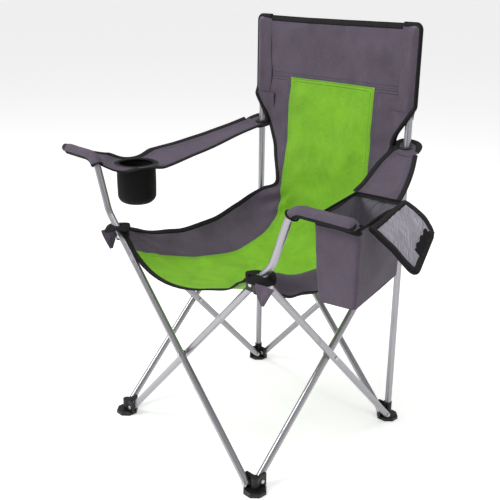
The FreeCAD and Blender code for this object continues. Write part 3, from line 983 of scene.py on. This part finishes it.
def web_points(table, steps, columns, sag):
    """A grid along an armrest, on the left side."""
    rows = []
    for i in range(steps + 1):
        at = (len(table) - 1) * i / steps
        y, inner_x, inner_z, outer_x, outer_z = spline(table, at)
        row = []
        for k in range(columns + 1):
            share = k / columns
            x = inner_x + (outer_x - inner_x) * share
            z = inner_z + (outer_z - inner_z) * share - sag * math.sin(math.pi * share)
            z += 0.0013 * ripple(x, y, z, 17, 6)
            row.append((x, y, z))
        rows.append(row)
    return np.array(rows)


def web_pieces(side, points):
    """An armrest's band of cloth with tape down both edges."""
    normals = grid_normals(points)
    points, normals = facing(points, normals, normals[..., 2].mean())
    across = lengths(points, 1)
    seam = np.minimum(across, across[:, -1:] - across) - TAPE * 0.8
    piece = cloth(f"armrest_{side}_cloth", points, CLOTH, [GREY], normals, abs(seam))
    for name, edge, inside in (("a", 0, 1), ("b", -1, -2)):
        inner = points[:, inside] - points[:, edge]
        tape = binding(f"armrest_{side}_binding_{name}", points[:, edge], inner, normals[:, edge])
        with_body(tape, f"armrest_{side}", arm_squash(side))
    return piece


def open_hole(piece, centre, radius):
    """Remove the cloth inside a circle seen from above, and bring the hole's edge onto it."""
    mesh = piece.data
    inside = []
    for vertex in mesh.vertices:
        gap = Vector((vertex.co.x - centre.x, vertex.co.y - centre.y))
        inside.append(gap.length < radius)
    shape = bmesh.new()
    shape.from_mesh(mesh)
    shape.verts.ensure_lookup_table()
    gone = [face for face in shape.faces if all(inside[v.index] for v in face.verts)]
    keep_edges = {v for face in shape.faces if face not in set(gone) for v in face.verts}
    for vertex in keep_edges:
        if inside[vertex.index]:
            gap = Vector((vertex.co.x - centre.x, vertex.co.y - centre.y))
            gap = gap.normalized() * radius
            vertex.co.x, vertex.co.y = centre.x + gap.x, centre.y + gap.y
    bmesh.ops.delete(shape, geom=gone, context="FACES")
    bmesh.ops.bridge_loops(shape, edges=[edge for edge in shape.edges if edge.is_boundary])
    shape.to_mesh(mesh)
    shape.free()


def right_armrest():
    points = web_points(RIGHT_WEB, 84, 30, 0.006)
    points[..., 0] *= -1
    # the cloth lies level round the cup holder
    gap = np.hypot(points[..., 0] - CUP_AT.x, points[..., 1] - CUP_AT.y)
    level = np.clip(1 - (gap - 0.048) / 0.026, 0, 1)
    level = level * level * (3 - 2 * level)
    points[..., 2] += (CUP_RIM_Z + 0.001 - points[..., 2]) * level
    piece = web_pieces("right", points)
    open_hole(piece, CUP_AT, 0.0462)
    with_body(piece, "armrest_right", arm_squash("right"))
    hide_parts("armrest_right")
    web_end("right")
    hem("right")


def left_armrest():
    points = web_points(LEFT_WEB, 44, 24, 0.004)
    piece = web_pieces("left", points)
    with_body(piece, "armrest_left", arm_squash("left"))
    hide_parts("armrest_left")
    declare(points)
    web_end("left")
    hem("left")


def web_end(side):
    """The rounded end of an armrest round its post, which has a moulded eyelet: cloth and a U of
    tape.
    """
    hand = HANDS[side]
    rows = []
    forward, across = [np.array(way) for way in STRAP_PLANE[side]]
    middle = np.array((CORNER + 0.002, CORNER, RING_Z + 0.003))
    for ring in range(6):
        share = ring / 5
        points = []
        for k in range(40):
            turn = 2 * math.pi * k / 40
            c, s = math.cos(turn), math.sin(turn)
            far = 0.030 if c < 0 else 0.038
            inner = np.array((0.0086 * c, 0.0086 * s))
            outer = np.array((far * boxed(c, 0.8), 0.0305 * boxed(s, 0.8)))
            spot = inner + (outer - inner) * share
            points.append(middle + forward * spot[0] + across * spot[1])
        rows.append(points)
    points = np.array(rows)
    points[..., 0] *= hand
    normals = grid_normals(points, True)
    points, normals = facing(points, normals, normals[..., 2].mean())
    body = "rear_left_frame" if side == "left" else "rear_right_frame"
    piece = cloth(f"armrest_{side}_end", points, CLOTH, [GREY], normals, ring=True)
    with_body(piece, body)
    declare_patch(points)
    edge = points[-1]
    mirror = (hand, 1, 1)
    reach = (edge - middle * mirror) @ (forward * mirror)
    back = [k for k in range(len(edge)) if reach[k] < 0.026]
    start = next(k for k in back if (k - 1) % 40 not in back)
    order = [(start + k) % 40 for k in range(len(back))]
    inner = points[0][order] - edge[order]
    tape = binding(
        f"armrest_{side}_end_binding", edge[order], inner, normals[-1][order], TAPE * 0.6
    )
    with_body(tape, body)


def hem(side):
    """The front of an armrest, rolled round the arm tube, with its tapes."""
    hand = HANDS[side]
    plane = -CORNER + hand * PLANE_OUT
    start = -0.004 if side == "left" else -0.011
    out = np.array((ARM_TIP[0] - ARM_BEND[0], 0.0, ARM_TIP[1] - ARM_BEND[1]))
    run = np.linalg.norm(out)
    out = out / run
    up = np.array((-out[2], 0.0, out[0]))
    base = np.array((ARM_BEND[0], plane, ARM_BEND[1]))
    reach = run + 0.024 if side == "left" else run - 0.0125
    rows, tape_line, under_line = [], [], []
    for i in range(41):
        share = i / 40
        where = start + (reach - start) * share
        # on the bend the roll follows the tube's arc
        turn = max(ARM_TURN - where, 0) / ARM_BEND_R
        arc = up * (math.cos(turn) - 1) - out * math.sin(turn)
        spot = base + out * max(where, ARM_TURN) + arc * ARM_BEND_R
        rise = up * math.cos(turn) - out * math.sin(turn)
        lobe = (0.009 + 0.003 * math.sin(share * 5)) * math.cos(turn)
        # the left hem closes past the arm's cap
        past = max((where - reach + 0.012) / 0.012, 0)
        close = math.sqrt(max(1 - past**2, 0.01)) if side == "left" else 1
        row = []
        for k in range(28):
            c, s = math.cos(2 * math.pi * k / 28), math.sin(2 * math.pi * k / 28)
            r = 0.0102 + 0.0005 * ripple(share * 2, c, s, 3, 8 + hand)
            back = c * r + (lobe * c**6 if c > 0 else 0)
            sink = 0.004 * c**6 if c > 0 else 0
            row.append(spot + np.array((0, 1, 0)) * back * close + rise * (s * r * close - sink))
        rows.append(row)
        tape_line.append(spot + np.array((0, 1, 0)) * (0.0095 + lobe) - rise * 0.004)
        under_line.append(spot - np.array((0, 1, 0)) * 0.0062 * close - rise * 0.0088 * close)
    points = np.array(rows)
    points[..., 0] *= hand
    normals = grid_normals(points, True)
    centre = points.mean(axis=1, keepdims=True)
    points, normals = facing(points, normals, (normals * (points - centre)).sum())
    body = "front_inner_tube" if side == "left" else "front_outer_tube"
    piece = cloth(f"hem_{side}", points, 0.0014, [GREY], normals, ring=True)
    with_body(piece, body)
    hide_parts(f"arm_sleeve_{side}")
    declare(points)
    tape_line = np.array(tape_line) * (hand, 1, 1)
    inner = np.tile((0.0, -1.0, 0.35), (len(tape_line), 1))
    above = [(0, 0.35, 1)] * len(tape_line)
    tape = binding(f"hem_{side}_binding", tape_line, inner, above, TAPE * 0.42)
    with_body(tape, body)
    under_line = np.array(under_line) * (hand, 1, 1)
    inner = np.tile((0.0, -0.55, 0.84), (len(under_line), 1))
    below = [(0, -0.84, -0.55)] * len(under_line)
    tape = binding(f"hem_{side}_edge", under_line, inner, below, TAPE * 0.36)
    with_body(tape, body)
    mouth = points[0]
    centre = mouth.mean(axis=0)
    ring = centre + (mouth - centre) * 1.03
    tape = swept(
        f"hem_{side}_mouth",
        ring,
        [(hand, 0, 0)] * len(ring),
        unit(ring - centre),
        rounded_profile(0.0042, 0.0014, 10),
        BINDING,
        True,
    )
    with_body(tape, body)


# ---------------------------------------------------------------- cup holder


def round_cup(radius, turn, height):
    """A point round the cup's axis."""
    return (CUP_AT.x + radius * math.cos(turn), CUP_AT.y + radius * math.sin(turn), height)


def cup_holder():
    """A round-bottomed pocket of mesh under a bound ring."""
    radius = (CUP_HIGH.x - CUP_LOW.x) / 2
    depth = CUP_HIGH.z - CUP_LOW.z
    fillet = 0.020
    profile = []
    for k in range(17):
        belly = 1 + 0.012 * math.sin(k / 16 * math.pi)
        profile.append((radius * belly, CUP_HIGH.z - (depth - fillet) * k / 16))
    for k in range(1, 11):
        turn = math.pi / 2 * k / 10
        c, s = math.cos(turn), math.sin(turn)
        profile.append((radius - fillet + fillet * c, CUP_LOW.z + fillet - fillet * s))
    for k in range(1, 7):
        profile.append(((radius - fillet) * (1 - k / 6) + 0.0006, CUP_LOW.z + 0.0001 * k))
    rows = []
    for r, z in profile:
        row = []
        for k in range(64):
            turn = 2 * math.pi * k / 64
            gathers = 1 + 0.006 * math.sin(turn * 9) * ease((CUP_HIGH.z - z) / depth)
            row.append(round_cup(r * gathers, turn, z))
        rows.append(row)
    points = np.array(rows)
    normals = grid_normals(points, True)
    points, normals = facing(points, normals, normals[0, 0, 0])
    piece = cloth("cup_pocket", points, 0.0012, [MESH], normals, ring=True)
    with_body(piece, "cup_holder")
    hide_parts("cup_mesh")
    area = grid_area(points, True)
    for name, r, lift, half, thick, material in (
        ("cup_rim", radius + 0.0018, 0.0008, 0.0062, 0.0024, BINDING),
        ("cup_piping", radius + 0.0075, 0.0010, 0.0020, 0.0017, GREY),
    ):
        ring, out = [], []
        for k in range(72):
            turn = 2 * math.pi * k / 72
            lively = 0.0006 * math.sin(turn * 3 + 1)
            ring.append(round_cup(r, turn, CUP_RIM_Z + lift + lively))
            out.append((math.cos(turn), math.sin(turn), 0))
        profile = rounded_profile(half, thick)
        tape = swept(name, ring, out, [(0, 0, 1)] * 72, profile, material, True)
        with_body(tape, "cup_holder")
    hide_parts("cup_ring")


# ---------------------------------------------------------------- cooler bag


def rounded_ring(corners, radius, on_arc=6, on_side=12):
    """Points round an outline with four rounded corners, and how far each is into its side."""
    corners = [np.array(corner, float) for corner in corners]
    points, along = [], []
    for k, corner in enumerate(corners):
        before = unit(corners[k - 1] - corner)
        after = unit(corners[(k + 1) % 4] - corner)
        for i in range(on_arc):
            share = i / (on_arc - 1)
            start, end = corner + before * radius, corner + after * radius
            arc = (1 - share) ** 2 * start + 2 * share * (1 - share) * corner + share**2 * end
            points.append(arc)
            along.append(0.0)
        start = corner + after * radius
        end = corners[(k + 1) % 4] - after * radius
        for i in range(1, on_side):
            share = i / on_side
            points.append(start + (end - start) * share)
            along.append(math.sin(math.pi * share))
    return np.array(points), np.array(along)


def bag_ring(share):
    """The bag's soft outline at a height share, 0 at the bottom and 1 at the rim."""
    bottom, top = np.array(BAG_BOTTOM), np.array(BAG_TOP)
    corners = bottom + (top - bottom) * share
    points, along = rounded_ring(corners, BAG_CORNER_R)
    middle = points.mean(axis=0)
    ring = []
    for point, middleness in zip(points, along):
        out = unit(point - middle)
        low = BAG_LOW[0] + BAG_LOW[1] * (point[0] - BAG_BOTTOM[0][0])
        low += BAG_LOW[2] * (point[1] - BAG_BOTTOM[0][1])
        z = low + (BAG_RIM_Z - low) * share
        bulge = 0.0035 * middleness * math.sin(math.pi * share)
        crumple = 0.0040 * ripple(point[0], point[1], z, 15, 11)
        crumple += 0.0018 * ripple(point[0], point[1], z, 38, 12)
        spot = point + out * (bulge + crumple * math.sin(math.pi * min(share * 1.2, 1)))
        ring.append((spot[0], spot[1], z))
    return np.array(ring)


def cooler_bag():
    levels = np.linspace(1, 0, 23)
    rings = [bag_ring(share) for share in levels]
    base = rings[-1]
    middle = base.mean(axis=0)
    for turn in np.linspace(0.25, 1, 4):
        rounded = middle + (base - middle) * (1 - 0.05 * turn)
        rounded[:, 2] = base[:, 2] - 0.003 * math.sin(turn * math.pi / 2)
        rings.append(rounded)
    for inward in (0.75, 0.45, 0.2, 0.02):
        flat = middle + (rings[26] - middle) * inward
        flat[:, 2] -= 0.0012 * (1 - inward)
        rings.append(flat)
    points = np.array(rings)
    normals = grid_normals(points, True)
    outward = (normals[5] * (points[5] - points[5].mean(axis=0))).sum()
    points, normals = facing(points, normals, outward)
    shell = cloth("cooler_shell", points, 0.001, [GREY, LINING], normals, ring=True, wall=BAG_WALL)
    with_body(shell, "cooler_bag")
    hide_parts("cooler_bag")
    rim_points = points[0]
    centre = rim_points.mean(axis=0)
    outward = unit((rim_points - centre) * (1, 1, 0))
    line = rim_points - outward * 0.0010
    down = np.tile((0.0, 0.0, -1.0), (len(line), 1))
    tape = binding("cooler_binding", line + (0, 0, 0.0032), down, outward, 0.0075, True)
    with_body(tape, "cooler_bag")
    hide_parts("cooler_rim")
    zip_line = rim_points - outward * 0.0052 + (0, 0, 0.0012)
    upward = [(0, 0, 1)] * len(line)
    profile = rounded_profile(0.0052, 0.0007, 10)
    ring = swept("zip_tape", zip_line, outward, upward, profile, BINDING, True)
    with_body(ring, "cooler_bag")
    zip_teeth(zip_line - outward * 0.0036 + (0, 0, 0.0009), outward)
    piping(points)


def zip_teeth(line, outward):
    """The zip's coil along the mouth, as small teeth."""
    points = np.concatenate([line, line[:1]])
    reach = lengths(points[:, None], 0)[:, 0]
    count = int(reach[-1] / TOOTH_PITCH)
    verts, faces = [], []
    for k in range(count):
        at = reach[-1] * k / count
        i = min(int(np.searchsorted(reach, at, side="right")) - 1, len(line) - 1)
        share = (at - reach[i]) / max(reach[i + 1] - reach[i], 1e-9)
        spot = points[i] + (points[i + 1] - points[i]) * share
        ahead = unit(points[i + 1] - points[i]) * 0.0009
        side = outward[i] * 0.0016
        rise = np.array((0, 0, 0.0007))
        first = len(verts)
        for c in TOOTH:
            verts.append(tuple(spot + ahead * c[0] + side * c[1] + rise * c[2]))
        for quad in TOOTH_SIDES:
            faces.append([first + q for q in quad])
    mesh = bpy.data.meshes.new("zip_teeth")
    mesh.from_pydata(verts, [], faces)
    mesh.materials.append(CAD_FINISH["black_plastic"])
    teeth = bpy.data.objects.new("zip_teeth", mesh)
    bpy.context.collection.objects.link(teeth)
    with_body(teeth, "cooler_bag")


def piping(points):
    """A raised seam round the bag's bottom edge."""
    ring = points[23]
    centre = ring.mean(axis=0)
    outward = unit((ring - centre) * (1, 1, 0))
    line = ring + outward * 0.0002
    upward = [(0, 0, 1)] * len(line)
    profile = rounded_profile(0.0014, 0.0014, 8)
    seam = swept("bag_seam", line, outward, upward, profile, GREY, True)
    with_body(seam, "cooler_bag")


def lid_point(a, b):
    """A point of the open lid; a runs along the hinge and b outwards, both -1 to 1."""
    hinge_side = b < 0
    keep = 0.94 if hinge_side else 0.70
    core = np.clip((a, b), -keep, keep)
    step = np.array((a, b)) - core
    length = np.hypot(*step)
    if length > 0:
        step = step * max(abs(step)) / length
    a, b = core + step
    near_hinge, far_hinge, far_out, near_out = [np.array(corner) for corner in LID]
    s, t = (a + 1) / 2, (b + 1) / 2
    inner = near_hinge * (1 - s) + far_hinge * s
    outer = near_out * (1 - s) + far_out * s
    point = inner * (1 - t) + outer * t
    crown = 0.007 * math.sin(math.pi * t) * (0.7 + 0.3 * s)
    ripples = 0.0022 * ripple(s * 1.6, t * 0.9, 0, 2.6, 14)
    ripples += 0.0012 * ripple(s * 3, t, 0, 5, 15)
    return point + np.array((0.2, 0.05, 0.95)) * (crown + ripples)


def patch_point(u, v):
    """A point of the hook-and-loop patch on the lid, ragged along one edge."""
    ragged = 0.045 * math.sin(u * 1.3) if v == 0 else 0
    return lid_point(-0.32 + 1.0 * u / 15, 0.56 + 0.32 * v / 5 + ragged)


def cooler_lid():
    rows = np.linspace(-1, 1, 37)
    points = np.array([[lid_point(a, b) for b in np.linspace(-1, 1, 29)] for a in rows])
    normals = grid_normals(points)
    points, normals = facing(points, normals, normals[..., 2].mean())
    lid = cloth("lid_panel", points, 0.0012, [LINING, GREY], normals, wall=0.0042)
    with_body(lid, "cooler_lid")
    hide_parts("cooler_lid")
    edge = border(*points.shape[:2])
    line = np.array([points[i, j] - normals[i, j] * 0.0018 for i, j in edge])
    edge_normals = np.array([normals[i, j] for i, j in edge])
    centre = points.mean(axis=(0, 1))
    ahead = np.roll(line, -1, axis=0) - np.roll(line, 1, axis=0)
    inner = np.cross(edge_normals, ahead)
    if (inner * (centre - line)).sum() < 0:
        inner = -inner
    centre_line = line + unit(inner) * 0.0030
    profile = rounded_profile(0.0062, 0.0042)
    tape = swept("lid_binding", centre_line, unit(inner), edge_normals, profile, BINDING, True)
    with_body(tape, "cooler_lid")
    patch_points = np.array([[patch_point(u, v) for v in range(6)] for u in range(16)])
    normals = grid_normals(patch_points)
    patch_points, normals = facing(patch_points, normals, normals[..., 2].mean())
    patch = cloth("closure_patch", patch_points + normals * 0.0018, 0.0016, [PILE], normals)
    with_body(patch, "cooler_lid")
    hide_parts("lid_patch")
    declare(patch_points)


# ---------------------------------------------------------------- the frame's own pieces


def finish_frame():
    """Give each piece that comes straight from the CAD its material, and break the sharp edges of
    the black plastic ones.
    """
    slots = {part["node"]: part["material_slot"] for part in frame["record"]["subparts"]}
    for name, slot in slots.items():
        if slot not in CAD_FINISH:
            continue
        piece = frame["nodes"][name]
        for place in piece.material_slots:
            place.material = CAD_FINISH[slot]
        if not piece.material_slots:
            piece.data.materials.append(CAD_FINISH[slot])
        if slot == "black_plastic":
            edge = piece.modifiers.new("soft edges", "BEVEL")
            edge.width = 0.0011
            edge.segments = 3
            edge.angle_limit = math.radians(35)
            edge.harden_normals = True


# ---------------------------------------------------------------- studio


def studio():
    """A pale floor, soft lights and the camera."""
    bpy.ops.mesh.primitive_plane_add(size=240, location=(0, 0, -0.0005))
    floor = bpy.context.object
    floor.name = "studio_floor"
    glow = {"Emission_Color": (1, 1, 1, 1), "Emission_Strength": 0.42}
    pale = Finish("pale floor", (0.88, 0.88, 0.88), 0.9, **glow)
    floor.data.materials.append(pale.material)
    world = bpy.data.worlds.new("soft studio")
    bpy.context.scene.world = world
    world.use_nodes = True
    sky = world.node_tree.nodes["Background"].inputs
    sky["Color"].default_value = (1, 1, 1, 1)
    sky["Strength"].default_value = 0.5
    for name, place, size, power in LIGHTS:
        light = bpy.data.lights.new(name, "AREA")
        light.energy = power
        light.size = size
        lamp = bpy.data.objects.new(name, light)
        bpy.context.collection.objects.link(lamp)
        lamp.location = place
        lamp.rotation_mode = "QUATERNION"
        lamp.rotation_quaternion = (Vector((0, 0, 0.4)) - lamp.location).to_track_quat("-Z", "Y")
    look = bpy.data.cameras.new("camera")
    look.sensor_width = 36
    look.lens = CAMERA_LENS
    camera = bpy.data.objects.new("camera", look)
    bpy.context.collection.objects.link(camera)
    azimuth, elevation, roll = [math.radians(angle) for angle in CAMERA_TURNS]
    level = math.cos(elevation)
    back = Vector((math.sin(azimuth) * level, -math.cos(azimuth) * level, math.sin(elevation)))
    right = Vector((math.cos(azimuth), math.sin(azimuth), 0))
    up = back.cross(right)
    turned_right = right * math.cos(roll) + up * math.sin(roll)
    turned_up = up * math.cos(roll) - right * math.sin(roll)
    axes = Matrix((turned_right, turned_up, back)).transposed().to_4x4()
    camera.matrix_world = Matrix.Translation(Vector(CAMERA_AIM) + back * CAMERA_FAR) @ axes
    bpy.context.scene.camera = camera
    bpy.context.scene.view_settings.view_transform = "Standard"


make_sling()
for hand in HANDS:
    post_sleeve(hand)
    corner_patch(hand)
right_armrest()
left_armrest()
cup_holder()
cooler_bag()
cooler_lid()
finish_frame()
studio()
